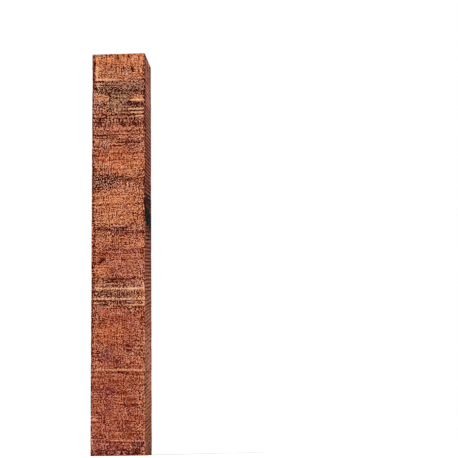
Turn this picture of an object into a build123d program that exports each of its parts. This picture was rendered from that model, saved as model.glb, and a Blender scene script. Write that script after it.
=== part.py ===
from build123d import *
import math
import os

# A square fence post sawn from one piece of hardwood. It stands on its foot end, with the origin at
# the middle of that end, +Z up the grain and the face that the photograph shows towards -Y.
# All sizes are in millimetres.

# Driving dimensions of the sawn stock
LENGTH = 1500.0
WIDTH = 200.0
DEPTH = 200.0
ARRIS_RADIUS = 2.0
END_EASE = 1.0

# The heart of the log, where the drying checks start, measured from the middle of the section
HEART_X = 14.0
HEART_Y = 22.0
HEART_CLEAR = 5.0

# The end check that runs out through the front face
FRONT_CHECK_X = -2.4
FRONT_CHECK_WIDTH = 4.0
FRONT_CHECK_HEIGHT = 34.0

# Star checks in the two ends, around the heart: bearing in degrees from +X, length from the heart,
# widest opening, how far each one runs into the timber, and its bow as a share of its length
TOP_STAR = [
    (24.0, 62.0, 2.4, 30.0, 0.04),
    (97.0, 48.0, 2.0, 26.0, -0.03),
    (163.0, 84.0, 3.0, 38.0, -0.05),
    (208.0, 55.0, 1.8, 22.0, 0.03),
    (322.0, 71.0, 2.6, 34.0, 0.02),
]
FOOT_STAR = [
    (12.0, 58.0, 2.2, 28.0, -0.03),
    (118.0, 60.0, 2.6, 34.0, 0.04),
    (190.0, 78.0, 2.8, 36.0, 0.02),
    (255.0, 66.0, 2.2, 26.0, -0.04),
    (308.0, 50.0, 1.8, 22.0, 0.03),
]

# What is left of a check's outline where it dies out inside the timber
CHECK_TIP = 0.25
FRONT_CHECK_TIP = 0.06

# The top corner that shows has been knocked off: how far the break runs down the arris, across the
# front face and back along the side face
KNOCK_DOWN = 26.0
KNOCK_ACROSS = 5.5
KNOCK_BACK = 7.0

# Slivers that the saw tore off the long arrises: which arris, the height of the middle, how long the
# torn place is and how deep it goes in from the arris
SLIVERS = [
    ((1, -1), 1205.0, 70.0, 2.4),
    ((1, -1), 905.0, 120.0, 3.0),
    ((-1, 1), 700.0, 110.0, 3.6),
]


def sawn_stock():
    """The squared timber, with its long arrises rubbed and its two end cuts just eased."""
    section = RectangleRounded(WIDTH, DEPTH, ARRIS_RADIUS)
    stock = extrude(section, LENGTH)
    end_edges = stock.edges().group_by(Axis.Z)[0] + stock.edges().group_by(Axis.Z)[-1]
    return chamfer(end_edges, END_EASE)


def check_outline(inner, outer, width, bow):
    """A closed lens between two tips, as a drying check looks on a sawn end."""
    middle = (inner + outer) / 2
    run = outer - inner
    across = Vector(-run.Y, run.X, 0).normalized()
    centre = middle + across * run.length * bow
    sides = [
        ThreePointArc(inner, centre + across * width / 2, outer),
        ThreePointArc(outer, centre - across * width / 2, inner),
    ]
    return make_face(sides)


def star_check(bearing, reach, width, depth, bow, end_z, inward):
    """The opening of one check: a lens on the end face that closes as it runs into the timber."""
    angle = math.radians(bearing)
    ray = Vector(math.cos(angle), math.sin(angle), 0)
    heart = Vector(HEART_X, HEART_Y, 0)
    inner = heart + ray * HEART_CLEAR
    outer = heart + ray * reach
    mouth = check_outline(inner, outer, width, bow)
    middle = (inner + outer) / 2
    root = check_outline(
        middle + (inner - middle) * CHECK_TIP,
        middle + (outer - middle) * CHECK_TIP,
        width * CHECK_TIP,
        bow,
    )
    return loft([Pos(0, 0, end_z) * mouth, Pos(0, 0, end_z + inward * depth) * root])


def front_check():
    """The check that opens towards the front face and dies out down that face."""
    heart = Vector(HEART_X, HEART_Y, 0)
    mouth_middle = Vector(FRONT_CHECK_X, -DEPTH / 2, 0)
    ray = (mouth_middle - heart).normalized()
    across = Vector(-ray.Y, ray.X, 0)
    length = (mouth_middle - heart).length - HEART_CLEAR
    past_face = 1.25

    def wedge(share):
        tip = mouth_middle - ray * length * share
        outer = tip + ray * length * share * past_face
        half = across * FRONT_CHECK_WIDTH * share * past_face / 2
        return make_face(Polyline(tip, outer + half, outer - half, close=True))

    top = Pos(0, 0, LENGTH) * wedge(1.0)
    bottom = Pos(0, 0, LENGTH - FRONT_CHECK_HEIGHT) * wedge(FRONT_CHECK_TIP)
    return loft([top, bottom], ruled=True)


def knocked_corner():
    """The small block outside the break across the top corner of the front and right faces."""
    corner = Vector(WIDTH / 2, -DEPTH / 2, LENGTH)
    down = corner - Vector(0, 0, KNOCK_DOWN)
    across = corner - Vector(KNOCK_ACROSS, 0, 0)
    back = corner + Vector(0, KNOCK_BACK, 0)
    normal = (across - down).cross(back - down)
    if normal.dot(corner - down) < 0:
        normal = normal * -1
    size = 2 * (KNOCK_DOWN + KNOCK_ACROSS + KNOCK_BACK)
    break_plane = Plane(origin=down, z_dir=normal)
    return break_plane * Box(size, size, size, align=(Align.CENTER, Align.CENTER, Align.MIN))


def torn_sliver(arris, height, length, depth):
    """A shallow scoop across a long arris, cut by the flank of a large level cylinder."""
    side_x, side_y = arris
    radius = length * length / (8 * depth) + depth / 2
    outward = Vector(side_x, side_y, 0).normalized()
    corner = Vector(side_x * WIDTH / 2, side_y * DEPTH / 2, height)
    rounding = ARRIS_RADIUS * (math.sqrt(2) - 1)
    centre = corner - outward * (rounding + depth) + outward * radius
    along = Vector(-outward.Y, outward.X, 0)
    torn_width = 2 * (rounding + depth)
    return Plane(origin=centre, z_dir=along) * Cylinder(radius, 2 * torn_width)


def fence_post():
    post = sawn_stock()
    for check in TOP_STAR:
        post -= star_check(*check, LENGTH, -1)
    for check in FOOT_STAR:
        post -= star_check(*check, 0.0, 1)
    post -= front_check()
    post -= knocked_corner()
    for sliver in SLIVERS:
        post -= torn_sliver(*sliver)
    return post


os.makedirs("parts", exist_ok=True)
post = fence_post()
solid = post.solids()[0]
print("solids", len(post.solids()), "valid", solid.is_valid, "volume mm3", round(solid.volume))
print("box mm", solid.bounding_box())
export_step(solid, "parts/post.step")
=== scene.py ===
import math

import bpy
import bmesh
import numpy as np
from mathutils import Matrix, Vector
from mathutils.geometry import delaunay_2d_cdt


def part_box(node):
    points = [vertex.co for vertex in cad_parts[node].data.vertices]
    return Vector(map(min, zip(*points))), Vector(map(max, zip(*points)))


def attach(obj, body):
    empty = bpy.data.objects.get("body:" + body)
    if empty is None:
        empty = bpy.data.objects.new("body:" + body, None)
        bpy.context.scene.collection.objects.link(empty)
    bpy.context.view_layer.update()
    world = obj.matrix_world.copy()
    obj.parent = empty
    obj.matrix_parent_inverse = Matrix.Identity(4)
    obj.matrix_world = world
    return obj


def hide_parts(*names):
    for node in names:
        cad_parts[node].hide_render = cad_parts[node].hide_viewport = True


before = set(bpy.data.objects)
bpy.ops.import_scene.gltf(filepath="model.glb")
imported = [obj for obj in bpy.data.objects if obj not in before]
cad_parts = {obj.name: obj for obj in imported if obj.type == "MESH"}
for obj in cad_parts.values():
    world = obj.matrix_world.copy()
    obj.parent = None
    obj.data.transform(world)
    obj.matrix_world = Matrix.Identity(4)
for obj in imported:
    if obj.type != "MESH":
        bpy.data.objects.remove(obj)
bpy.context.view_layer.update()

# Sizes of the stock come from the post in the CAD model. Places on the timber are in millimetres: across
# is measured from the middle of a face, to the right as the face is seen, and height from the foot.
MM = 0.001
post_low, post_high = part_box("post")
WIDTH = (post_high.x - post_low.x) / MM
DEPTH = (post_high.y - post_low.y) / MM
LENGTH = (post_high.z - post_low.z) / MM

# The rubbed edges and the marks of drying and handling, as the CAD model has them
ARRIS_RADIUS = 2.0
END_EASE = 1.0
HEART = (14.0, 22.0)
HEART_CLEAR = 5.0
FRONT_CHECK_X = -2.4
FRONT_CHECK_WIDTH = 4.0
FRONT_CHECK_HEIGHT = 34.0
CHECK_TIP = 0.25
FRONT_CHECK_TIP = 0.06
# Bearing from +X, length from the heart, widest opening, run into the timber, bow
TOP_STAR = [
    (24.0, 62.0, 2.4, 30.0, 0.04),
    (97.0, 48.0, 2.0, 26.0, -0.03),
    (163.0, 84.0, 3.0, 38.0, -0.05),
    (208.0, 55.0, 1.8, 22.0, 0.03),
    (322.0, 71.0, 2.6, 34.0, 0.02),
]
FOOT_STAR = [
    (12.0, 58.0, 2.2, 28.0, -0.03),
    (118.0, 60.0, 2.6, 34.0, 0.04),
    (190.0, 78.0, 2.8, 36.0, 0.02),
    (255.0, 66.0, 2.2, 26.0, -0.04),
    (308.0, 50.0, 1.8, 22.0, 0.03),
]
KNOCK_DOWN = 26.0
KNOCK_ACROSS = 5.5
KNOCK_BACK = 7.0
SLIVERS = [
    ((1, -1), 1205.0, 70.0, 2.4),
    ((1, -1), 905.0, 120.0, 3.0),
    ((-1, 1), 700.0, 110.0, 3.6),
]

# How finely the surface is divided: rows up the post, cells across each face, steps in from an arris
# rounding, cells round it, and the spacing and margin of the points that fill an end
ROWS = 860
CELLS = {"front": 38, "right": 14, "back": 10, "left": 10}
EDGE_STEPS = (0.0, 1.5, 4.0, 8.0)
CORNER_CELLS = 2
END_PITCH = 5.0
END_MARGIN = 4.0

# Each face: its outward direction and the direction of across, as X and Y
FACES = {
    "front": ((0, -1), (1, 0)),
    "right": ((1, 0), (0, 1)),
    "back": ((0, 1), (-1, 0)),
    "left": ((-1, 0), (0, -1)),
}

# Saw marks: their spacing and depth
SAW_PITCH = {"front": 14.6, "right": 14.0, "back": 13.5, "left": 15.5}
SAW_DEPTH = {"front": 0.8, "right": 0.9, "back": 0.8, "left": 0.9}
# Where the ridge and the groove of a saw mark lie, and their widths, as shares of the spacing
SAW_RIDGE = (0.62, 0.16)
SAW_GROOVE = (0.30, 0.13)
# How even the saw marks are, from 0 for very mixed to 1 for all alike, and how far a mark wanders
SAW_EVEN = {"front": 0.1, "right": 0.5, "back": 0.2, "left": 0.2}
SAW_WANDER = {"front": 5.0, "right": 1.2, "back": 5.0, "left": 4.0}
# How steeply they rise to the right across each face: heights, each with its degrees
SAW_TILT = {
    "front": [(0, -0.8), (720, -1.3), (860, 0.8), (1120, 0.8), (1175, -0.2), (1240, -1.5), (1500, -1.6)],
    "right": [(0, 7), (240, 9), (400, 11), (540, 12), (600, 8), (850, 8), (950, 5), (1500, 4)],
    "back": [(0, 1.5), (700, 0.5), (1500, -1.5)],
    "left": [(0, -6), (500, -9), (900, -3), (1500, 4)],
}

# Marks on the faces: kind, across, height, half width, half height, tilt in degrees beyond that of the
# saw marks there (rising to the right) and strength. A groove or a ridge is one line, a nick is a chip
# in an end edge, and the other kinds are patches of wood. Those of the front and right faces are
# read off the photograph, and those of the other two are guessed.
MARKS = {
    "front": [
        # The top end
        ("nick", -79, 1494, 5, 7, 0, 0.6),
        ("nick", -58, 1492, 6, 10, 0, 1.0),
        ("nick", -39, 1494, 5, 8, 0, 0.9),
        ("nick", -29, 1495, 5, 6, 0, 0.6),
        ("nick", -18, 1496, 7, 6, 0, 0.8),
        ("nick", -3, 1490, 5, 12, 0, 0.6),
        # A dark line down the front check: painted shade in the crack
        ("dark", -3, 1480, 4, 24, 0, 0.5),
        ("nick", 20, 1494, 5, 8, 0, 0.8),
        ("nick", 39, 1492, 5, 9, 0, 1.0),
        ("nick", 54, 1495, 5, 6, 0, 0.6),
        ("nick", 77, 1494, 5, 7, 0, 0.7),
        ("bright", 0, 1484, 104, 30, 0, 1.0),
        ("clean", 0, 1486, 104, 24, 0, 0.3),
        ("bright", 0, 1430, 110, 50, 0, 0.7),
        ("fibre", 0, 1470, 120, 50, 0, 0.45),
        ("fibre", 20, 1436, 50, 12, 0, 0.7),
        ("groove", -44, 1458, 46, 3, 0, 0.5),
        ("stain", -30, 1442, 24, 10, 0, 0.7),
        ("stain", 36, 1438, 32, 9, 0, 1.0),
        ("tan", -74, 1435, 16, 20, 0, 1.0),
        ("bright", -74, 1432, 14, 20, 0, 1.0),
        ("tan", -40, 1416, 30, 14, 0, 0.5),
        ("groove", -90, 1428, 5, 40, 0, 1.0),
        ("ridge", -81, 1424, 5, 28, 0, 1.0),
        # Dark rows and speckle, with cleaner wood between them
        ("rough", 0, 1320, 100, 92, 0, 1.0),
        ("tan", 0, 1300, 100, 95, 0, 0.4),
        ("tan", 0, 1215, 100, 50, 0, 0.5),
        ("clean", -48, 1399, 40, 4, 0, 0.9),
        ("ridge", -48, 1397, 38, 3, 0, 0.9),
        ("stain", 0, 1382, 100, 14, 0, 0.6),
        ("groove", -50, 1390, 44, 3, 0, 0.9),
        ("clean", -76, 1383, 14, 4, 0, 0.8),
        ("ridge", -76, 1382, 12, 3, 0, 1.0),
        ("clean", -76, 1374, 14, 4, 0, 0.8),
        ("ridge", -74, 1374, 12, 3, 0, 1.0),
        ("groove", -40, 1376, 30, 3, 0, 0.6),
        ("stain", -50, 1366, 46, 16, 0, 1.0),
        ("dark", -54, 1356, 40, 14, 0, 0.4),
        ("stain", 0, 1354, 100, 16, 0, 0.9),
        ("groove", 40, 1366, 56, 3, 0, 0.7),
        ("groove", -40, 1358, 60, 3, 0, 0.6),
        ("groove", 44, 1354, 60, 4, 0, 1.0),
        ("purple", 60, 1350, 44, 10, 0, 0.6),
        ("groove", 10, 1343, 70, 3, 0, 0.8),
        ("clean", -66, 1328, 32, 14, 0, 1.0),
        ("clean", 70, 1329, 28, 15, 0, 1.0),
        ("ridge", 72, 1318, 26, 3, 0, 1.0),
        ("dark", -31, 1328, 6, 15, 0, 1.0),
        ("groove", -31, 1328, 4, 15, 0, 1.0),
        ("stain", 10, 1328, 36, 14, 0, 0.9),
        ("dark", 10, 1328, 34, 12, 0, 0.2),
        ("ridge", 8, 1333, 32, 3, 0, 1.0),
        ("groove", 70, 1324, 26, 3, 0, 0.6),
        ("groove", 2, 1324, 30, 3, 0, 0.5),
        ("ridge", 2, 1316, 28, 3, 0, 1.0),
        ("groove", 0, 1310, 40, 3, 0, 0.5),
        ("stain", -40, 1295, 60, 16, 0, 0.25),
        ("dark", -50, 1303, 42, 9, 0, 0.3),
        ("stain", 46, 1292, 54, 14, 0, 0.5),
        ("purple", 66, 1297, 36, 13, 0, 1.0),
        ("stain", 68, 1299, 36, 13, 0, 1.0),
        ("dark", 66, 1300, 32, 10, 0, 0.6),
        ("groove", 60, 1303, 34, 3, 0, 0.6),
        ("clean", 70, 1283, 28, 5, 0, 0.8),
        ("ridge", 66, 1283, 30, 3, 0, 1.0),
        ("ridge", 10, 1283, 26, 3, 0, 0.4),
        ("dark", 60, 1277, 36, 3, 0, 0.7),
        ("groove", 58, 1276, 38, 3, 0, 1.0),
        ("clean", 72, 1270, 24, 4, 0, 0.6),
        ("ridge", 70, 1270, 24, 3, 0, 0.8),
        ("dark", 74, 1263, 28, 3, 0, 0.6),
        ("groove", 0, 1262, 100, 4, 0, 1.0),
        ("clean", 80, 1257, 20, 5, 0, 0.8),
        ("ridge", 82, 1257, 18, 3, 0, 1.0),
        ("bright", -76, 1276, 26, 14, 0, 0.9),
        ("dark", -64, 1247, 24, 4, 24, 0.5),
        ("groove", -64, 1247, 26, 4, 24, 1.0),
        ("stain", -56, 1236, 50, 18, 0, 0.6),
        ("stain", 40, 1238, 74, 20, 0, 0.9),
        ("fibre", 10, 1236, 110, 14, 0, 1.0),
        ("groove", 32, 1233, 56, 3, 0, 0.6),
        ("groove", 0, 1222, 90, 3, 0, 0.6),
        ("groove", 41, 1196, 50, 3, 0, 0.7),
        ("stain", 54, 1206, 40, 18, 0, 0.35),
        ("stain", -56, 1206, 36, 14, 0, 0.3),
        ("groove", 0, 1184, 94, 3, 0, 0.8),
        ("stain", -50, 1180, 50, 14, 0, 0.5),
        ("ridge", 0, 1179, 90, 3, 0, 0.2),
        ("groove", 11, 1172, 76, 3, 0, 0.7),
        ("stain", 44, 1155, 44, 10, 0, 0.6),
        ("purple", 0, 1148, 120, 22, 0, 0.5),
        ("groove", 38, 1155, 40, 3, 0, 0.3),
        ("bright", -88, 1160, 9, 12, 0, 0.7),
        ("purple", 62, 1136, 32, 11, 0, 0.6),
        # Cleaner orange wood, and the grey wedge that comes in from the left
        ("bright", 10, 1080, 96, 52, 0, 0.8),
        ("bright", -4, 1124, 36, 24, 0, 0.4),
        ("groove", 18, 1114, 77, 3, 0, 0.8),
        ("groove", -43, 1105, 54, 3, 0, 0.8),
        ("groove", 0, 1089, 96, 3, 0, 0.8),
        ("groove", -57, 1047, 40, 3, 0, 0.6),
        ("rough", -50, 1008, 60, 30, 0, 0.6),
        ("stain", -60, 1010, 46, 30, 0, 1.0),
        ("stain", 0, 1016, 60, 12, -2, 0.8),
        ("dark", -50, 1014, 56, 14, 0, 0.25),
        ("groove", 58, 1013, 40, 4, 0, 0.8),
        ("fibre", -20, 1000, 90, 16, 0, 0.6),
        ("stain", -66, 974, 26, 10, 0, 0.4),
        ("bright", 0, 910, 98, 72, 0, 0.65),
        ("ridge", 0, 927, 96, 3, 0, 0.25),
        ("groove", 0, 921, 96, 3, 0, 0.9),
        # A dark row, then redder wood
        ("purple", -36, 826, 64, 14, 0, 0.7),
        ("bright", -30, 786, 60, 18, 0, 0.5),
        ("stain", 0, 822, 40, 12, 0, 0.5),
        ("dark", -10, 826, 90, 7, 0, 0.35),
        ("purple", 60, 815, 40, 16, 0, 0.5),
        ("ridge", -34, 838, 60, 3, 0, 0.25),
        ("groove", 2, 831, 27, 3, 0, 0.9),
        ("groove", -64, 824, 32, 3, 0, 0.9),
        ("tan", -4, 821, 25, 4, 0, 0.9),
        ("groove", 32, 812, 63, 3, 0, 1.0),
        ("red", 0, 700, 98, 80, 0, 0.6),
        ("purple", -8, 762, 26, 24, 0, 0.35),
        ("bright", 62, 780, 36, 20, 0, 0.5),
        ("bright", -66, 670, 34, 22, 0, 0.7),
        ("tan", -8, 743, 10, 7, 0, 1.0),
        ("groove", -46, 741, 22, 3, 0, 0.6),
        ("groove", 12, 740, 30, 3, 0, 0.7),
        ("groove", -30, 730, 44, 3, 0, 0.6),
        ("dark", -60, 710, 15, 6, 45, 1.0),
        ("groove", -60, 710, 14, 4, 45, 1.0),
        # Pale saw lines across grey wood
        ("stain", -12, 637, 44, 24, 0, 0.7),
        ("stain", -66, 638, 30, 14, 0, 0.5),
        ("stain", 64, 636, 34, 12, 0, 0.4),
        ("groove", 4, 640, 45, 3, 0, 0.9),
        ("groove", -8, 628, 33, 3, 0, 0.8),
        ("rough", 0, 590, 98, 46, 0, 0.35),
        ("stain", 0, 548, 98, 14, 0, 0.9),
        ("groove", 0, 559, 96, 3, 0, 0.5),
        ("purple", -10, 592, 90, 36, 0, 0.5),
        ("groove", -4, 612, 44, 3, 0, 0.6),
        ("clean", -14, 606, 84, 3, 0, 0.5),
        ("ridge", 0, 605, 96, 3, 0, 0.8),
        ("groove", 4, 597, 44, 3, 0, 0.6),
        ("ridge", 66, 606, 29, 3, 0, 0.9),
        ("ridge", -80, 601, 14, 3, 0, 0.5),
        ("stain", -5, 586, 44, 14, 0, 0.9),
        ("stain", -70, 588, 34, 14, 0, 0.8),
        ("tan", 68, 586, 28, 14, 0, 0.3),
        ("ridge", 0, 567, 100, 3, 0, 0.9),
        ("groove", -66, 560, 30, 3, 0, 0.7),
        ("ridge", -82, 552, 16, 3, 0, 1.0),
        ("ridge", -56, 553, 20, 3, 0, 0.3),
        ("groove", -66, 547, 30, 3, 0, 0.9),
        ("groove", -2, 556, 25, 3, 0, 0.7),
        ("groove", 64, 549, 29, 3, 0, 0.6),
        ("ridge", 8, 544, 34, 3, 0, 0.3),
        ("clean", 52, 545, 44, 3, 0, 0.7),
        ("ridge", 62, 545, 34, 3, 0, 1.0),
        ("groove", 36, 538, 58, 3, 0, 0.8),
        ("ridge", -2, 514, 25, 3, 0, 0.25),
        ("ridge", 66, 498, 25, 3, 5, 0.35),
        ("groove", 66, 491, 25, 3, 4, 0.4),
        ("ridge", 50, 481, 30, 3, 0, 0.25),
        # The redder lower half
        ("red", 0, 460, 98, 80, 0, 0.9),
        ("fibre", 0, 450, 104, 100, 0, 0.3),
        ("bright", -40, 445, 60, 36, 0, 0.6),
        ("red", 0, 250, 110, 160, 0, 0.8),
        ("red", 0, 80, 110, 80, 0, 0.8),
        ("purple", -60, 44, 60, 16, 0, 0.6),
        ("purple", 70, 44, 40, 16, 0, 0.8),
        ("groove", -70, 438, 14, 4, 10, 0.7),
        ("ridge", 57, 403, 36, 3, 0, 0.2),
        ("groove", 55, 394, 36, 3, 0, 0.5),
        ("purple", -48, 366, 33, 26, 0, 0.8),
        ("purple", 40, 380, 40, 30, 0, 0.3),
        ("purple", -3, 336, 22, 12, 0, 0.9),
        ("groove", 0, 338, 16, 4, 0, 0.5),
        ("clean", 0, 308, 98, 3, 0, 0.5),
        ("ridge", 0, 308, 96, 3, 0, 0.6),
        ("groove", -76, 299, 18, 3, 0, 0.8),
        ("groove", 14, 300, 14, 3, 0, 0.7),
        ("dark", -20, 301, 70, 3, 0, 0.4),
        ("groove", -34, 299, 30, 3, 0, 0.4),
        ("ridge", -42, 293, 48, 3, 0, 0.25),
        ("groove", -72, 282, 24, 3, 0, 0.6),
        ("groove", -30, 269, 34, 3, 0, 0.5),
        ("purple", -46, 226, 30, 20, 0, 0.9),
        ("purple", 40, 180, 30, 30, 0, 0.4),
        ("ridge", 52, 211, 20, 3, 0, 0.3),
        ("ridge", 14, 211, 10, 3, 0, 0.25),
        ("clean", 40, 190, 52, 3, 0, 0.4),
        ("ridge", 40, 189, 52, 3, 0, 0.3),
        ("groove", 38, 183, 54, 3, 0, 0.8),
        ("purple", -34, 173, 14, 18, 0, 0.8),
        ("purple", -60, 150, 30, 34, 0, 0.4),
        ("groove", 62, 140, 30, 3, 0, 0.7),
        ("groove", -74, 121, 20, 3, 0, 0.9),
        ("groove", 40, 121, 18, 3, 0, 0.8),
        ("groove", -18, 121, 40, 3, 0, 0.4),
        ("groove", 28, 113, 26, 3, 0, 0.5),
        ("purple", -42, 119, 10, 10, 0, 0.9),
        ("ridge", 70, 96, 20, 3, 0, 0.35),
        ("stain", 26, 90, 32, 17, 0, 0.3),
        ("ridge", 32, 53, 62, 3, 0, 0.55),
        ("groove", 24, 47, 70, 3, 0, 0.6),
        ("purple", -82, 40, 12, 8, 0, 1.0),
        ("purple", 0, 16, 110, 26, 0, 1.0),
        ("dark", -66, 10, 46, 14, 0, 0.2),
        ("dark", 66, 10, 46, 14, 0, 0.45),
        ("groove", 40, 20, 40, 4, 0, 0.7),
        ("stain", 70, 30, 30, 14, 0, 1.0),
        # The two long edges: a slight raised rim by the right arris, drawn pale as painted highlight
        # where the arris catches the light, and dark strips along both arrises, which are painted shade
        ("ridge", 95, 580, 4, 44, 1, 0.7),
        ("ridge", 94, 76, 4, 22, 1, 0.6),
        ("dark", -95, 1430, 5, 70, 0, 1.0),
        ("dark", -92, 1366, 7, 12, 0, 0.8),
        ("dark", -97, 1100, 5, 250, 0, 1.0),
        ("dark", -97, 400, 5, 400, 0, 1.0),
        ("dark", 99, 1420, 4, 80, 0, 0.9),
        ("dark", 99, 1290, 4, 60, 0, 0.9),
        ("dark", 99, 1200, 4, 40, 0, 0.6),
        ("dark", 98, 930, 4, 90, 0, 0.9),
        # Where the saw marks show as bands
        ("scored", 0, 1225, 100, 70, 0, 0.6),
        ("scored", 0, 1110, 100, 40, 0, 0.35),
        ("scored", 0, 750, 100, 60, 0, 0.2),
        # The foot end
        ("nick", -85, 4, 5, 7, 0, 0.8),
        ("nick", -62, 4, 5, 6, 0, 0.8),
        ("nick", -38, 4, 5, 7, 0, 0.8),
        ("nick", -12, 4, 5, 6, 0, 0.8),
        ("nick", 14, 4, 5, 7, 0, 0.8),
        ("nick", 40, 4, 6, 7, 0, 0.9),
        ("nick", 70, 4, 6, 8, 0, 0.9),
    ],
    "right": [
        # Salmon wood at the top, between dark and purple strips along the edges that are painted shade on
        # the arrises
        ("salmon", 0, 1410, 80, 125, 0, 1.0),
        # A dark strip along the top edge: painted shade on the arris
        ("dark", 0, 1495, 120, 6, 0, 1.0),
        ("dark", -88, 1310, 26, 210, 0, 1.0),
        ("purple", -90, 1310, 24, 210, 0, 1.0),
        ("dark", 90, 1290, 22, 300, 0, 1.0),
        ("purple", 92, 1290, 20, 300, 0, 1.0),
        # Scored wood, darker downwards, and the black stain
        ("purple", 0, 1260, 130, 60, 0, 1.0),
        ("scored", 0, 1360, 150, 120, 0, 0.7),
        ("scored", 0, 1090, 150, 160, 0, 1.0),
        ("purple", 10, 1110, 130, 130, 0, 0.75),
        # A dark strip of painted shade along the front arris
        ("dark", -88, 1080, 30, 120, 0, 0.8),
        ("dark", 0, 1120, 130, 80, 0, 0.5),
        ("dark", 0, 975, 130, 58, -7, 1.0),
        ("black", 0, 948, 140, 28, -7, 0.6),
        ("black", 0, 884, 150, 38, -7, 1.0),
        ("dark", 0, 828, 130, 34, -7, 1.0),
        ("dark", 0, 768, 130, 56, -7, 0.4),
        # Scored wood, with salmon wood again towards the foot
        ("scored", 0, 700, 150, 180, 0, 0.6),
        ("purple", 10, 700, 120, 170, 0, 0.7),
        # The dark strips at 94 and -94 across and the purple one at 92 are painted shade on the arrises
        ("dark", 94, 720, 22, 200, 0, 0.9),
        ("purple", 92, 640, 24, 300, 0, 1.0),
        ("dark", 60, 560, 40, 30, 0, 0.4),
        ("dark", -94, 720, 12, 120, 0, 0.6),
        ("scored", 0, 480, 150, 80, 0, 0.5),
        ("salmon", -10, 345, 130, 190, 0, 0.8),
        ("scored", 0, 220, 150, 210, 0, 0.5),
        ("tan", -10, 240, 110, 120, 0, 0.3),
        # Dark strips along the two arrises: painted shade
        ("dark", 96, 260, 16, 280, 0, 0.9),
        ("dark", -96, 240, 8, 260, 0, 0.5),
        ("purple", 0, 20, 120, 50, 0, 0.2),
    ],
    "back": [
        ("bright", 0, 1420, 110, 90, 0, 0.9),
        ("rough", 0, 1290, 104, 80, 0, 0.8),
        ("tan", 0, 1280, 104, 90, 0, 0.4),
        ("stain", -30, 1332, 90, 16, 0, 0.8),
        ("groove", 0, 1344, 90, 3, 0, 0.8),
        ("clean", -54, 1302, 40, 12, 0, 0.9),
        ("ridge", 44, 1302, 50, 3, 0, 0.8),
        ("stain", 30, 1268, 80, 14, 0, 0.7),
        ("groove", 6, 1256, 80, 3, 0, 0.7),
        ("groove", -20, 1214, 76, 3, 0, 0.8),
        ("ridge", -10, 1206, 60, 3, 0, 0.4),
        ("bright", 0, 1090, 104, 80, 0, 0.8),
        ("groove", 10, 1122, 90, 3, 0, 0.6),
        ("purple", 20, 985, 90, 16, 0, 0.7),
        ("stain", 56, 990, 50, 12, 0, 0.7),
        ("scored", 0, 880, 100, 110, 0, 0.5),
        ("ridge", 0, 902, 90, 3, 0, 0.4),
        ("groove", 10, 894, 90, 3, 0, 0.8),
        ("red", 0, 600, 110, 220, 0, 0.9),
        ("bright", -40, 740, 60, 40, 0, 0.6),
        ("purple", 40, 560, 50, 40, 0, 0.5),
        ("groove", -40, 640, 50, 3, 0, 0.7),
        ("rough", 20, 386, 90, 34, 0, 0.5),
        ("stain", 60, 380, 40, 26, 0, 0.8),
        ("stain", 20, 370, 70, 10, 0, 0.6),
        ("ridge", 0, 408, 92, 3, 0, 0.6),
        ("red", 0, 180, 110, 170, 0, 0.9),
        ("purple", -40, 240, 40, 30, 0, 0.6),
        ("groove", 0, 160, 80, 3, 0, 0.7),
        ("purple", 0, 20, 110, 30, 0, 1.0),
        # Dark strips along the two arrises: painted shade
        ("dark", -97, 760, 5, 640, 0, 0.7),
        ("dark", 98, 520, 5, 380, 0, 0.7),
        ("nick", -64, 1493, 6, 9, 0, 0.8),
        ("nick", -20, 1494, 5, 8, 0, 0.7),
        ("nick", 33, 1492, 6, 9, 0, 0.8),
        ("nick", 71, 1494, 5, 7, 0, 0.7),
    ],
    "left": [
        ("bright", 0, 1400, 110, 110, 0, 0.9),
        ("tan", -60, 1440, 40, 30, 0, 0.6),
        ("groove", 0, 1352, 90, 3, 0, 0.7),
        ("ridge", 10, 1338, 70, 3, 0, 0.5),
        ("purple", 0, 1250, 110, 60, 0, 0.4),
        ("scored", 0, 1180, 100, 120, 0, 0.5),
        ("rough", 70, 1006, 60, 40, 0, 0.7),
        ("stain", 84, 1008, 30, 30, 0, 0.9),
        ("stain", 40, 1002, 50, 18, -4, 0.8),
        ("bright", -10, 905, 100, 70, 0, 0.8),
        ("groove", 20, 830, 70, 3, 0, 0.8),
        ("purple", -20, 818, 80, 18, 0, 0.8),
        ("red", 0, 680, 110, 110, 0, 0.8),
        ("purple", -30, 690, 60, 60, 0, 0.4),
        ("rough", -20, 556, 90, 40, 0, 0.6),
        ("stain", -50, 560, 44, 22, 0, 0.7),
        ("ridge", 0, 584, 94, 3, 0, 0.7),
        ("ridge", 10, 546, 84, 3, 0, 0.6),
        ("groove", 0, 537, 84, 3, 0, 0.7),
        ("red", 0, 400, 110, 140, 0, 0.9),
        ("red", 0, 150, 110, 150, 0, 0.9),
        ("purple", 30, 330, 40, 30, 0, 0.6),
        ("groove", -20, 262, 70, 3, 0, 0.7),
        ("purple", 0, 24, 110, 34, 0, 1.0),
        # Dark strips along the two arrises: painted shade
        ("dark", -98, 560, 5, 460, 0, 0.7),
        ("dark", 97, 960, 5, 440, 0, 0.7),
        ("nick", -48, 1493, 6, 9, 0, 0.8),
        ("nick", 8, 1494, 5, 7, 0, 0.7),
        ("nick", 60, 1492, 6, 9, 0, 0.8),
    ],
}

# A mark whose half width or half height is no more than this is one line, and any other is a patch
LINE_HALF_WIDTH = 6
# Wood marked fibre has dark upright strokes, rough wood has more speckle, and scored wood shows the
# saw marks as light and dark bands. The kind dark stands both for darker wood and for strips of
# painted shade along the arrises.
KINDS = ("groove", "ridge", "nick", "fibre", "stain", "dark", "black", "purple", "tan", "bright", "clean",
         "salmon", "red", "rough", "scored")

# Depths of the relief, in millimetres, and how far the nibbled arrises reach into a face
WAVE_DEPTH = 0.7
FIBRE_DEPTH = 0.2
GROOVE_DEPTH = 0.7
RIDGE_RISE = 0.4
NICK_DEPTH = 1.6
ARRIS_WEAR_DEPTH = 1.6
ARRIS_WEAR_REACH = 3.5
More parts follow.
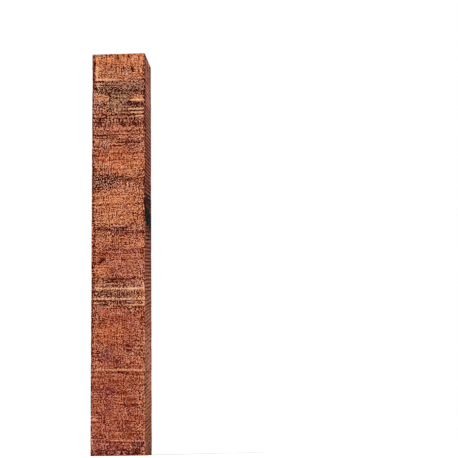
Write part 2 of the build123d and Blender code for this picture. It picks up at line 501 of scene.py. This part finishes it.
# Points this near to the plane of a face move with its relief, less and less towards the limit
RELIEF_REACH = 8.0
# Edges that turn more than this, in degrees, stay crisp
SHARP_ANGLE = 48.0

# The cutters of the checks stand out past the sawn ends by this much, and the one that opens the front
# face is this many times as long and as wide as its check, so that it stands out past the face too
CUTTER_OVERLAP = 0.5
PAST_FACE = 1.25

# Large odd numbers that mix the bits of a cell's number
MIX_I = 374761393
MIX_J = 668265263
MIX_SEED = 974711
MIX_AGAIN = 1274126177

# Light: even light from all round, a soft sun high in front of the post and to its left, counted in
# degrees from straight ahead, and a weak lamp to its right, in watts and metres
WORLD_LIGHT = 0.36
SUN_STRENGTH = 2.25
SUN_SOFTNESS = 12.0
SUN_BEARING = -28.0
SUN_HEIGHT = 46.0
FILL_POWER = 10.0
FILL_SIZE = 2.5
FILL_PLACE = (3.6, -1.6, 1.4)

# Half the side of the floor, in metres, and how much paler the floor shows than its light makes it
FLOOR_HALF = 30.0
FLOOR_LIFT = 0.42

# The camera, fitted to the post's outline in the photograph: metres, degrees, and millimetres for
# its lens and sensor
CAMERA_PLACE = (0.6705, -4.7454, 0.0376)
CAMERA_TURN = 3.203
CAMERA_PITCH = 9.517
CAMERA_ROLL = -0.724
CAMERA_LENS = 100.75
CAMERA_SENSOR = 36.0


def hashed(i, j, seed):
    """A fixed pseudo-random number from 0 to 1 for each whole-number cell."""
    mixed = (i.astype(np.int64) * MIX_I + j.astype(np.int64) * MIX_J + seed * MIX_SEED) & 0xFFFFFFFF
    mixed = ((mixed ^ (mixed >> 13)) * MIX_AGAIN) & 0xFFFFFFFF
    return ((mixed ^ (mixed >> 16)) & 0xFFFFFF) / 0xFFFFFF


def cloud(u, v, cell_u, cell_v, seed):
    """Smooth noise from 0 to 1 whose lumps are about cell_u by cell_v, in millimetres."""
    u, v = u / cell_u, v / cell_v
    i, j = np.floor(u), np.floor(v)
    a, b = u - i, v - j
    a, b = a * a * (3 - 2 * a), b * b * (3 - 2 * b)
    low = hashed(i, j, seed) * (1 - a) + hashed(i + 1, j, seed) * a
    high = hashed(i, j + 1, seed) * (1 - a) + hashed(i + 1, j + 1, seed) * a
    return low * (1 - b) + high * b


def clouds(u, v, cell_u, cell_v, seed, octaves=3):
    """Layers of smooth noise, each half the size and strength of the one before, from 0 to 1."""
    total = sum(cloud(u, v, cell_u / 2**k, cell_v / 2**k, seed + 17 * k) / 2**k for k in range(octaves))
    return total / sum(1 / 2**k for k in range(octaves))


def ease(low, high, x):
    """0 below low, 1 above high, smooth between."""
    t = np.clip((x - low) / (high - low), 0, 1)
    return t * t * (3 - 2 * t)


def hump(x, middle, width):
    """1 at the middle, and close to 0 more than two widths away."""
    return np.exp(-(((x - middle) / width) ** 2))


def saw_tilt(face, height):
    """How steeply the saw marks rise across a face at a height, in degrees."""
    steps = np.array(SAW_TILT[face], float)
    return np.interp(height, steps[:, 0], steps[:, 1])


def saw_along(face, across, height, seed):
    """Height as the saw saw it: the same along one saw mark, with a slight wander."""
    slope = np.tan(np.radians(saw_tilt(face, height)))
    wander = SAW_WANDER[face] * (clouds(across, height, 90, 160, seed + 3) - 0.5)
    return height - across * slope + wander


def saw_marks(face, across, height, seed):
    """Saw marks from -1, in a groove, to 1, on a ridge; each mark has its own strength."""
    along = saw_along(face, across, height, seed)
    phase = along / SAW_PITCH[face] + 0.7 * (cloud(across, height, 400, 47, seed + 5) - 0.5)
    row = np.floor(phase)
    even = SAW_EVEN[face]
    strength = even + (1 - even) * hashed(row, row * 0, seed + 7) ** 1.5
    strength = strength * (0.5 + 0.5 * cloud(across + 31 * row, height, 45, 500, seed + 11))
    return strength * (hump(phase - row, *SAW_RIDGE) - hump(phase - row, *SAW_GROOVE))


def carve(face, across, height, seed):
    """How far the sawn face lies inside its flat plane, in millimetres."""
    waves = WAVE_DEPTH * (clouds(across, height, 110, 260, seed + 21, 2) - 0.35)
    marks = SAW_DEPTH[face] * (0.12 - 0.5 * saw_marks(face, across, height, seed))
    fibres = FIBRE_DEPTH * (clouds(across, height, 12, 28, seed + 23, 2) - 0.3)
    return waves + marks + fibres


def carve_end(x, y, seed):
    """How far a sawn end lies inside its flat plane, in millimetres."""
    scratches = 0.5 * clouds(x + 0.3 * y, y, 60, 5, seed, 2)
    pits = 0.5 * clouds(x, y, 4, 4, seed + 20, 2)
    return scratches + pits - 0.15


def arris_wear(across, half, height, seed):
    """Extra loss beside the two arrises of a face, in nibbles of uneven length."""
    loss = 0.0
    for side in (-1, 1):
        nibble = ease(0.45, 0.85, clouds(height, height * 0, 34, 1, seed + 40 + side, 3))
        loss = loss + ARRIS_WEAR_DEPTH * nibble * hump(half - side * across, 0, ARRIS_WEAR_REACH)
    return loss


def drawn_line(along, reach, aside, thickness):
    """A line from 0 to 1, soft at its two sides, that fades out at its two ends."""
    return (1 - ease(0.85, 1.15, np.abs(along) / reach)) * hump(aside, 0, thickness)


def mark_masks(face, across, height, seed):
    """How strongly each kind of mark shows at each point, from 0 to 1."""
    masks = {kind: np.zeros(len(across)) for kind in KINDS}
    ragged = clouds(across, height, 26, 26, seed + 31, 3) - 0.5
    streaky = clouds(across, height, 9, 60, seed + 33, 2) - 0.5
    wobble = 1.6 * (clouds(across, height, 60, 30, seed + 35, 2) - 0.5)
    broken = 0.45 + 0.55 * ease(0.25, 0.55, clouds(across, height, 14, 9, seed + 37, 2))
    for kind, middle, level, half_width, half_height, tilt, strength in MARKS[face]:
        turn = math.radians(tilt + saw_tilt(face, level))
        u = (across - middle) * math.cos(turn) + (height - level) * math.sin(turn)
        v = (height - level) * math.cos(turn) - (across - middle) * math.sin(turn)
        if min(half_width, half_height) > LINE_HALF_WIDTH:
            edge = (np.abs(u / half_width) ** 3 + np.abs(v / half_height) ** 3) ** (1 / 3)
            shape = 1 - ease(0.55, 1.25, edge + 0.9 * ragged + 0.5 * streaky)
        elif half_width > half_height:
            shape = drawn_line(u, half_width, v + wobble, half_height)
        else:
            shape = drawn_line(v, half_height, u + wobble, half_width)
        if kind == "groove":
            shape = shape * broken
        masks[kind] = 1 - (1 - masks[kind]) * (1 - strength * shape)
    return masks


def half_size(direction):
    """Half the stock's width or depth, whichever lies along the direction."""
    return WIDTH / 2 if direction[0] else DEPTH / 2


def stations(half, cells):
    """Places across a face from one arris rounding to the other, closer together near both."""
    edge = half - ARRIS_RADIUS - np.array(EDGE_STEPS)
    middle = np.linspace(-edge[-1], edge[-1], cells + 1)[1:-1]
    return np.concatenate([-edge, middle, edge[::-1]])


def section_ring():
    """The section's outline as points round the post, in millimetres."""
    points = []
    for name, (out, along) in FACES.items():
        places = [(across, half_size(out)) for across in stations(half_size(along), CELLS[name])]
        for k in range(1, CORNER_CELLS):
            turn = math.pi / 2 * k / CORNER_CELLS
            places.append((half_size(along) - ARRIS_RADIUS + ARRIS_RADIUS * math.sin(turn),
                           half_size(out) - ARRIS_RADIUS + ARRIS_RADIUS * math.cos(turn)))
        points += [(along[0] * a + out[0] * o, along[1] * a + out[1] * o) for a, o in places]
    return np.array(points)


def end_cap(ring):
    """Triangles that fill one end inside its ring, and their points; the ring's points come first."""
    inner_x = np.arange(-WIDTH / 2 + END_MARGIN, WIDTH / 2 - END_MARGIN, END_PITCH)
    inner_y = np.arange(-DEPTH / 2 + END_MARGIN, DEPTH / 2 - END_MARGIN, END_PITCH)
    points = [Vector(p) for p in ring.tolist() + [(x, y) for x in inner_x for y in inner_y]]
    outline = [list(range(len(ring)))]
    inside_only = 1
    same_place = 1e-6
    _, _, triangles, sources, _, _ = delaunay_2d_cdt(points, [], outline, inside_only, same_place)
    return [tuple(sources[i][0] for i in t) for t in triangles], points


def post_mesh():
    """The whole surface as plain points and faces, before any relief, in millimetres."""
    ring = section_ring()
    count = len(ring)
    heights = np.concatenate([[0], np.linspace(END_EASE, LENGTH - END_EASE, ROWS - 1), [LENGTH]])
    end_ring = ring * (1 - 2 * END_EASE / np.array([WIDTH, DEPTH]))
    rings = [end_ring if z in (0, LENGTH) else ring for z in heights]
    points = np.concatenate([np.column_stack([r, np.full(count, z)]) for r, z in zip(rings, heights)])
    faces = []
    for r in range(len(heights) - 1):
        for c in range(count):
            n = (c + 1) % count
            faces.append((r * count + c, r * count + n, (r + 1) * count + n, (r + 1) * count + c))
    for z, base in ((0.0, 0), (LENGTH, (len(heights) - 1) * count)):
        triangles, flat = end_cap(end_ring)
        extra = np.array([(p.x, p.y, z) for p in flat[count:]])
        offset = len(points)
        points = np.concatenate([points, extra])
        for t in triangles:
            t = tuple(base + i if i < count else offset + i - count for i in t)
            faces.append(t if z else t[::-1])
    return points, faces


def fade(gap):
    """How fully a point moves with the relief of a face, from the gap between it and the face."""
    return 1 - ease(0, RELIEF_REACH, gap)


def relief(points):
    """The points moved in by each face's own relief, and what the material needs to know there."""
    moved = points.copy()
    facts = {name: np.zeros(len(points)) for name in KINDS + ("along", "saw")}
    nearest = np.full(len(points), np.inf)
    for k, (name, (out, across_dir)) in enumerate(FACES.items()):
        seed = 100 * (k + 1)
        gap = half_size(out) - points[:, :2] @ np.array(out, float)
        across = points[:, :2] @ np.array(across_dir, float)
        near = gap < RELIEF_REACH
        a, z = across[near], points[near, 2]
        masks = mark_masks(name, a, z, seed)
        depth = carve(name, a, z, seed) + arris_wear(a, half_size(across_dir), z, seed)
        depth = depth + GROOVE_DEPTH * masks["groove"] + NICK_DEPTH * masks["nick"]
        depth = depth - RIDGE_RISE * masks["ridge"]
        depth = depth.clip(0) * fade(gap[near])
        moved[near, :2] -= depth[:, None] * np.array(out, float)
        own = near & (gap < nearest)
        facts["along"][own] = saw_along(name, across[own], points[own, 2], seed) * MM
        facts["saw"][own] = saw_marks(name, across[own], points[own, 2], seed)
        for kind in KINDS:
            facts[kind][own] = masks[kind][own[near]]
        nearest[own] = gap[own]
    for end, into, seed in ((0.0, 1, 900), (LENGTH, -1, 901)):
        gap = np.abs(points[:, 2] - end)
        near = gap < RELIEF_REACH
        depth = carve_end(points[near, 0], points[near, 1], seed)
        moved[near, 2] += into * depth.clip(0) * fade(gap[near])
    facts["end"] = ((points[:, 2] == 0) | (points[:, 2] == LENGTH)).astype(float)
    return moved, facts


def knock_corner(points):
    """Points beyond the break across the top front right corner are brought back onto it."""
    corner = np.array([WIDTH / 2, -DEPTH / 2, LENGTH])
    down = corner - [0, 0, KNOCK_DOWN]
    across = corner - [KNOCK_ACROSS, 0, 0]
    back = corner + [0, KNOCK_BACK, 0]
    normal = np.cross(across - down, back - down)
    normal = normal / np.linalg.norm(normal)
    if normal @ (corner - down) < 0:
        normal = -normal
    beyond = (points - down) @ normal
    return points - np.outer(beyond.clip(0), normal)


def tear_sliver(points, arris, height, length, depth):
    """Points within a torn place on an arris are brought back onto the flank of a large cylinder."""
    outward = np.array([arris[0], arris[1]], float) / math.sqrt(2)
    corner = np.array([arris[0] * WIDTH / 2, arris[1] * DEPTH / 2])
    radius = length**2 / (8 * depth) + depth / 2
    rounding = ARRIS_RADIUS * (math.sqrt(2) - 1)
    level = np.abs(points[:, 2] - height) < length / 2
    near = level & (((points[:, :2] - corner) @ outward) > -2 * depth)
    local = points[near]
    chord = np.sqrt((radius**2 - (local[:, 2] - height) ** 2).clip(0))
    limit = radius - rounding - depth - chord
    beyond = ((local[:, :2] - corner) @ outward - limit).clip(0)
    local[:, :2] -= np.outer(beyond, outward)
    points[near] = local
    return points


def lens(inner, outer, width, bow, count=8):
    """The outline of a drying check on a sawn end, from tip to tip and back."""
    run = outer - inner
    across = np.array([-run[1], run[0]]) / np.linalg.norm(run)
    t = np.linspace(0, 1, count + 1)
    swell = 4 * t * (1 - t)
    middle = inner + np.outer(t, run) + np.outer(swell * bow * np.linalg.norm(run), across)
    half = np.outer(swell * width / 2, across)
    return np.concatenate([(middle + half)[:-1], (middle - half)[::-1][:-1]])


def star_shapes(star, end, into):
    """For each check of one end: its mouth and that outline's height, its root and that one's height."""
    shapes = []
    heart = np.array(HEART)
    for bearing, reach, width, depth, bow in star:
        ray = np.array([math.cos(math.radians(bearing)), math.sin(math.radians(bearing))])
        inner, outer = heart + ray * HEART_CLEAR, heart + ray * reach
        middle = (inner + outer) / 2
        mouth = lens(inner, outer, width, bow)
        root = lens(middle + (inner - middle) * CHECK_TIP, middle + (outer - middle) * CHECK_TIP,
                    width * CHECK_TIP, bow)
        shapes.append((mouth, end - into * CUTTER_OVERLAP, root, end + into * depth))
    return shapes


def front_shape():
    heart = np.array(HEART)
    mouth = np.array([FRONT_CHECK_X, -DEPTH / 2])
    ray = (mouth - heart) / np.linalg.norm(mouth - heart)
    side = np.array([-ray[1], ray[0]])
    length = np.linalg.norm(mouth - heart) - HEART_CLEAR

    def wedge(share):
        tip = mouth - ray * length * share
        outer = tip + ray * length * share * PAST_FACE
        half = side * FRONT_CHECK_WIDTH * share * PAST_FACE / 2
        return np.array([tip, outer - half, outer + half])

    return wedge(1.0), LENGTH + CUTTER_OVERLAP, wedge(FRONT_CHECK_TIP), LENGTH - FRONT_CHECK_HEIGHT


def check_cutter():
    """All checks as one mesh of closed wedges, to be cut out of the timber."""
    made = bmesh.new()
    shapes = star_shapes(TOP_STAR, LENGTH, -1) + star_shapes(FOOT_STAR, 0.0, 1) + [front_shape()]
    for mouth, mouth_z, root, root_z in shapes:
        first = [made.verts.new((x * MM, y * MM, mouth_z * MM)) for x, y in mouth]
        last = [made.verts.new((x * MM, y * MM, root_z * MM)) for x, y in root]
        for i in range(len(first)):
            n = (i + 1) % len(first)
            made.faces.new((first[i], first[n], last[n], last[i]))
        made.faces.new(first[::-1])
        made.faces.new(last)
    bmesh.ops.recalc_face_normals(made, faces=made.faces)
    mesh = bpy.data.meshes.new("check_cutter")
    made.to_mesh(mesh)
    made.free()
    # The cutter's faces become the walls of the checks, which the material paints in shade
    inside = mesh.attributes.new("inside", "FLOAT", "FACE")
    inside.data.foreach_set("value", np.ones(len(mesh.polygons), np.float32))
    cutter = bpy.data.objects.new("check_cutter", mesh)
    bpy.context.scene.collection.objects.link(cutter)
    return cutter


def cut_checks(post):
    """The checks cut out of the post, whose new walls keep the cutter's mark as inside."""
    cutter = check_cutter()
    cut = post.modifiers.new("checks", "BOOLEAN")
    cut.operation = "DIFFERENCE"
    cut.object = cutter
    cut.solver = "MANIFOLD"
    with bpy.context.temp_override(object=post, active_object=post, selected_objects=[post]):
        bpy.ops.object.modifier_apply(modifier=cut.name)
    bpy.data.objects.remove(cutter)


def make_post(timber):
    """The sawn post as one mesh, with the facts that its material reads."""
    points, faces = post_mesh()
    moved, facts = relief(points)
    moved = knock_corner(moved)
    for sliver in SLIVERS:
        moved = tear_sliver(moved, *sliver)
    mesh = bpy.data.meshes.new("sawn_post")
    mesh.from_pydata((moved * MM).tolist(), [], faces)
    for name, values in facts.items():
        mesh.attributes.new(name, "FLOAT", "POINT").data.foreach_set("value", values.astype(np.float32))
    mesh.attributes.new("inside", "FLOAT", "FACE")
    post = bpy.data.objects.new("sawn_post", mesh)
    bpy.context.scene.collection.objects.link(post)
    cut_checks(post)
    mesh.shade_smooth()
    mesh.set_sharp_from_angle(angle=math.radians(SHARP_ANGLE))
    mesh.materials.clear()
    mesh.materials.append(timber)
    return post


def colour(red, green, blue):
    """A colour as it looks, from 0 to 255, in the linear light that shaders use."""
    return tuple(c / 12.92 if c <= 0.04045 else ((c + 0.055) / 1.055) ** 2.4
                 for c in (red / 255, green / 255, blue / 255)) + (1.0,)


class Nodes:
    """Short ways to write one material's nodes."""

    def __init__(self, name):
        self.material = bpy.data.materials.new(name)
        self.material.use_nodes = True
        self.tree = self.material.node_tree
        self.shader = self.tree.nodes["Principled BSDF"]

    def add(self, kind, inputs=None, **settings):
        """A new node with its settings, and with values or links in its sockets."""
        node = self.tree.nodes.new(kind)
        for key, value in settings.items():
            setattr(node, key, value)
        for key, value in (inputs or {}).items():
            self.put(value, node.inputs[key])
        return node

    def put(self, value, socket):
        if isinstance(value, bpy.types.NodeSocket):
            self.tree.links.new(value, socket)
        else:
            socket.default_value = value

    def math(self, operation, a, b=0.0):
        return self.add("ShaderNodeMath", {0: a, 1: b}, operation=operation).outputs[0]

    def total(self, first, *others):
        """All the parts added up."""
        for other in others:
            first = self.math("ADD", first, other)
        return first

    def swing(self, noise, share):
        """Noise from 0 to 1 made to swing about 0, times a share."""
        return self.math("MULTIPLY", self.math("SUBTRACT", noise, 0.5), share)

    def vector(self, operation, a, b=(0, 0, 0)):
        return self.add("ShaderNodeVectorMath", {0: a, 1: b}, operation=operation).outputs

    def fit(self, value, low, high, to_low=0.0, to_high=1.0):
        """A value carried over smoothly from one range to another, and held at the ends of it."""
        node = self.add("ShaderNodeMapRange", {0: value, 1: low, 2: high, 3: to_low, 4: to_high},
                        interpolation_type="SMOOTHSTEP")
        return node.outputs[0]

    def mix(self, share, a, b, blend="MIX"):
        """Two colours mixed; the node takes colours in its sockets 6 and 7 and gives one in socket 2."""
        node = self.add("ShaderNodeMix", {0: share, 6: a, 7: b}, data_type="RGBA", blend_type=blend)
        return node.outputs[2]

    def noise(self, place, scale, detail=2.0):
        """Noise from 0 to 1 with about scale lumps to the metre along X, Y and Z."""
        node = self.add("ShaderNodeTexNoise", {"Vector": self.vector("MULTIPLY", place, scale)[0],
                                               "Scale": 1.0, "Detail": detail, "Roughness": 0.5})
        return node.outputs["Fac"]

    def fact(self, name):
        """What the mesh tells about a place, such as how strongly one kind of mark shows there."""
        return self.add("ShaderNodeAttribute", attribute_name=name).outputs["Fac"]

    def where(self, kind, outside, within):
        """One value outside the marks of a kind, and another within them."""
        return self.fit(self.fact(kind), 0, 1, outside, within)


def sawn_weave(n, place):
    """How much lighter than its wood a sawn face is, or darker below 0: fibres, saw lines and marks."""
    split = n.add("ShaderNodeSeparateXYZ", {0: place}).outputs
    rows = n.add("ShaderNodeCombineXYZ", {0: split[0], 1: split[1], 2: n.fact("along")}).outputs[0]
    strand = n.noise(place, (260, 260, 20), 0)
    fibre = n.noise(place, (285, 285, 110), 0)
    fleck = n.noise(place, (260, 260, 235), 0)
    row = n.noise(rows, (15, 15, 230), 0)
    dash = n.noise(rows, (120, 120, 270), 0)
    streak = n.noise(place, (34, 34, 3), 1)
    stroke = n.fit(n.noise(place, (140, 140, 24), 0), 0.48, 0.62, 1.0, -1.8)
    weave = n.total(n.swing(fibre, 3.4), n.swing(dash, 4.5), n.swing(fleck, 12.0))
    weave = n.math("MULTIPLY", weave, n.where("rough", 1.0, 1.7))
    weave = n.total(weave, n.swing(strand, 2.6), n.swing(row, n.where("fibre", 3.0, 1.0)),
                    n.math("MULTIPLY", n.fact("fibre"), stroke))
    calmer = {"red": 0.73, "bright": 0.85, "clean": 0.4, "scored": 0.8, "ridge": 0.35, "groove": 0.6}
    for kind, share in calmer.items():
        weave = n.math("MULTIPLY", weave, n.where(kind, 1.0, share))
    weave = n.total(weave, n.swing(streak, n.where("salmon", 0.0, 4.0)),
                    n.swing(row, n.where("salmon", 0.0, 5.0)),
                    n.math("MULTIPLY", n.fact("saw"), n.where("scored", 0.4, 8.0)))
    for kind, share, gap, full in (("ridge", 2.0, 0.8, 1.1), ("groove", -1.5, 0.4, 1.4)):
        line = n.math("MULTIPLY", n.fact(kind), n.fit(strand, 0.35, 0.65, gap, full))
        weave = n.total(weave, n.math("MULTIPLY", line, share))
    # dark darkens both darker wood and the painted shade along the arrises
    lighter = {"nick": -1.7, "stain": -0.9, "black": -3.8, "dark": -1.3, "purple": -0.25, "bright": 0.3,
               "clean": 0.5}
    for kind, share in lighter.items():
        weave = n.total(weave, n.math("MULTIPLY", n.fact(kind), share))
    return weave


def sawn_colour(n, place, weave):
    """The colour of a sawn face: that of its wood, glowing or darkening with the weave."""
    broad = n.noise(place, (9, 9, 2.4), 3)
    hue = n.noise(place, (44, 44, 36), 2)
    warm = n.mix(n.fit(hue, 0.3, 0.7), colour(186, 77, 60), colour(175, 95, 48))
    base = n.mix(n.fit(broad, 0.3, 0.7), warm, colour(190, 102, 62))
    for kind, tint, share in (
        ("red", colour(164, 70, 50), 0.75),
        ("rough", colour(148, 98, 80), 0.5),
        ("bright", colour(210, 108, 70), 0.75),
        ("clean", colour(216, 124, 72), 0.95),
        ("salmon", colour(252, 151, 120), 0.95),
        ("tan", colour(190, 132, 80), 0.6),
        ("purple", colour(122, 42, 54), 0.8),
        ("stain", colour(116, 80, 66), 0.7),
        # dark: darker wood, and painted shade along the arrises
        ("dark", colour(90, 34, 32), 0.8),
        ("black", colour(34, 20, 28), 1.0),
    ):
        base = n.mix(n.math("MULTIPLY", n.fact(kind), share), base, tint)
    glow = n.mix(n.fact("red"), colour(242, 175, 142), colour(210, 132, 110))
    for kind, tint in (
        ("bright", colour(248, 170, 120)),
        ("rough", colour(232, 178, 148)),
        ("scored", colour(238, 143, 117)),
        ("ridge", colour(238, 190, 148)),
    ):
        glow = n.mix(n.fact(kind), glow, tint)
    brown = n.mix(n.fact("purple"), colour(116, 31, 2), colour(110, 28, 20))
    brown = n.mix(n.fact("black"), brown, colour(20, 10, 14))
    deep = n.mix(n.fact("black"), colour(60, 2, 0), colour(6, 3, 8))
    shade = n.math("MULTIPLY", weave, -1.0)
    tone = n.mix(n.fit(weave, 0.0, 2.0), base, glow)
    tone = n.mix(n.fit(shade, 0.0, 1.0), tone, brown)
    tone = n.mix(n.fit(shade, 0.8, 2.2), tone, deep)
    drift = n.fit(n.noise(place, (46, 46, 38), 0), 0.25, 0.75)
    yellower, bluer = (1.0, 1.01, 0.88, 1.0), (1.0, 0.99, 1.07, 1.0)
    return n.mix(1.0, tone, n.mix(drift, yellower, bluer), "MULTIPLY")


def end_grain(n, place):
    """The growth rings, rays, saw scratches and pores of the ends, about 0, and the ends' colour."""
    flat = n.vector("SUBTRACT", place, (HEART[0] * MM, HEART[1] * MM, 0))[0]
    spoke = n.vector("MULTIPLY", flat, (1, 1, 0))[0]
    radius = n.vector("LENGTH", spoke)["Value"]
    wavy = n.total(radius, n.swing(n.noise(spoke, (14, 14, 0), 1), 0.022))
    ring = n.noise(n.add("ShaderNodeCombineXYZ", {0: wavy}).outputs[0], (210, 0, 0), 1)
    ray = n.noise(n.vector("NORMALIZE", spoke)[0], (42, 42, 0), 1)
    turned = n.add("ShaderNodeVectorRotate", {"Vector": place, "Angle": 0.2}).outputs[0]
    scratch = n.noise(turned, (400, 14, 0), 1)
    pore = n.noise(place, (420, 420, 0), 0)
    grain = n.total(n.swing(ring, 3.4), n.swing(ray, 1.2), n.swing(scratch, 1.6), n.swing(pore, 1.8))
    tone = n.mix(n.fit(radius, 0.02, 0.13), colour(120, 58, 42), colour(164, 98, 66))
    tone = n.mix(n.fit(grain, 0.0, 1.2), tone, colour(208, 150, 112))
    tone = n.mix(n.fit(n.math("MULTIPLY", grain, -1.0), 0.0, 1.2), tone, colour(74, 34, 26))
    return grain, tone


def timber_material():
    """Rough sawn hardwood: four sawn faces, two ends, and painted shade on the walls inside the checks.
    """
    n = Nodes("rough_sawn_timber")
    place = n.add("ShaderNodeTexCoord").outputs["Object"]
    weave = sawn_weave(n, place)
    grain, end_tone = end_grain(n, place)
    timber = n.mix(n.fact("end"), sawn_colour(n, place, weave), end_tone)
    # Painted shade on the walls inside the checks
    n.put(n.mix(n.fact("inside"), timber, colour(58, 24, 16)), n.shader.inputs["Base Color"])
    n.shader.inputs["Roughness"].default_value = 0.85
    n.shader.inputs["Specular IOR Level"].default_value = 0.03
    height = n.mix(n.fact("end"), weave, grain)
    bump = n.add("ShaderNodeBump", {"Height": height, "Distance": 0.0005, "Strength": 0.8})
    n.put(bump.outputs[0], n.shader.inputs["Normal"])
    return n.material


def make_floor():
    """A pale floor, which shows a little paler to the camera."""
    mesh = bpy.data.meshes.new("floor")
    corners = [(x * FLOOR_HALF, y * FLOOR_HALF, 0) for x, y in ((-1, -1), (1, -1), (1, 1), (-1, 1))]
    mesh.from_pydata(corners, [], [(0, 1, 2, 3)])
    floor = bpy.data.objects.new("floor", mesh)
    bpy.context.scene.collection.objects.link(floor)
    n = Nodes("pale_floor")
    n.put(colour(235, 235, 235), n.shader.inputs["Base Color"])
    n.shader.inputs["Roughness"].default_value = 0.9
    n.shader.inputs["Specular IOR Level"].default_value = 0.1
    seen = n.add("ShaderNodeLightPath").outputs["Is Camera Ray"]
    n.put(colour(255, 255, 255), n.shader.inputs["Emission Color"])
    n.put(n.math("MULTIPLY", seen, FLOOR_LIFT), n.shader.inputs["Emission Strength"])
    mesh.materials.append(n.material)


def make_world():
    """Even white light, and a white surround wherever it is seen, in mirrors and through glass too."""
    world = bpy.data.worlds.new("studio")
    bpy.context.scene.world = world
    world.use_nodes = True
    tree = world.node_tree
    background = tree.nodes["Background"]
    path = tree.nodes.new("ShaderNodeLightPath")
    seen = path.outputs["Is Camera Ray"]
    for other in ("Is Glossy Ray", "Is Transmission Ray"):
        join = tree.nodes.new("ShaderNodeMath")
        join.operation = "MAXIMUM"
        tree.links.new(seen, join.inputs[0])
        tree.links.new(path.outputs[other], join.inputs[1])
        seen = join.outputs[0]
    strength = tree.nodes.new("ShaderNodeMapRange")
    strength.inputs["To Min"].default_value = WORLD_LIGHT
    strength.inputs["To Max"].default_value = 1.0
    tree.links.new(seen, strength.inputs["Value"])
    tree.links.new(strength.outputs[0], background.inputs["Strength"])
    background.inputs["Color"].default_value = (1, 1, 1, 1)


def make_fill():
    """A large weak lamp aimed at the middle of the post."""
    data = bpy.data.lights.new("fill", "AREA")
    data.energy = FILL_POWER
    data.size = FILL_SIZE
    lamp = bpy.data.objects.new("fill", data)
    lamp.location = FILL_PLACE
    aim = Vector((0, 0, LENGTH * MM / 2)) - lamp.location
    lamp.rotation_euler = aim.to_track_quat("-Z", "Y").to_euler()
    bpy.context.scene.collection.objects.link(lamp)


def make_sun():
    """The main light, turned to its bearing and height."""
    data = bpy.data.lights.new("sun", "SUN")
    data.energy = SUN_STRENGTH
    data.angle = math.radians(SUN_SOFTNESS)
    sun = bpy.data.objects.new("sun", data)
    turn = Matrix.Rotation(math.radians(SUN_BEARING), 4, "Z")
    tip = Matrix.Rotation(math.radians(90 - SUN_HEIGHT), 4, "X")
    sun.matrix_world = turn @ tip
    bpy.context.scene.collection.objects.link(sun)


def make_camera():
    """The camera of the photograph, level at first, then pitched, turned and rolled."""
    data = bpy.data.cameras.new("camera")
    data.lens = CAMERA_LENS
    data.sensor_width = CAMERA_SENSOR
    camera = bpy.data.objects.new("camera", data)
    bpy.context.scene.collection.objects.link(camera)
    turn = Matrix.Rotation(math.radians(CAMERA_TURN), 4, "Z")
    pitch = Matrix.Rotation(math.radians(90 + CAMERA_PITCH), 4, "X")
    roll = Matrix.Rotation(math.radians(CAMERA_ROLL), 4, "Z")
    camera.matrix_world = Matrix.Translation(CAMERA_PLACE) @ turn @ pitch @ roll
    bpy.context.scene.camera = camera


post = make_post(timber_material())
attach(post, "root")
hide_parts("post")
make_floor()
make_world()
make_sun()
make_fill()
make_camera()
bpy.context.scene.view_settings.view_transform = "Standard"
print("triangles", sum(len(p.vertices) - 2 for p in post.data.polygons))
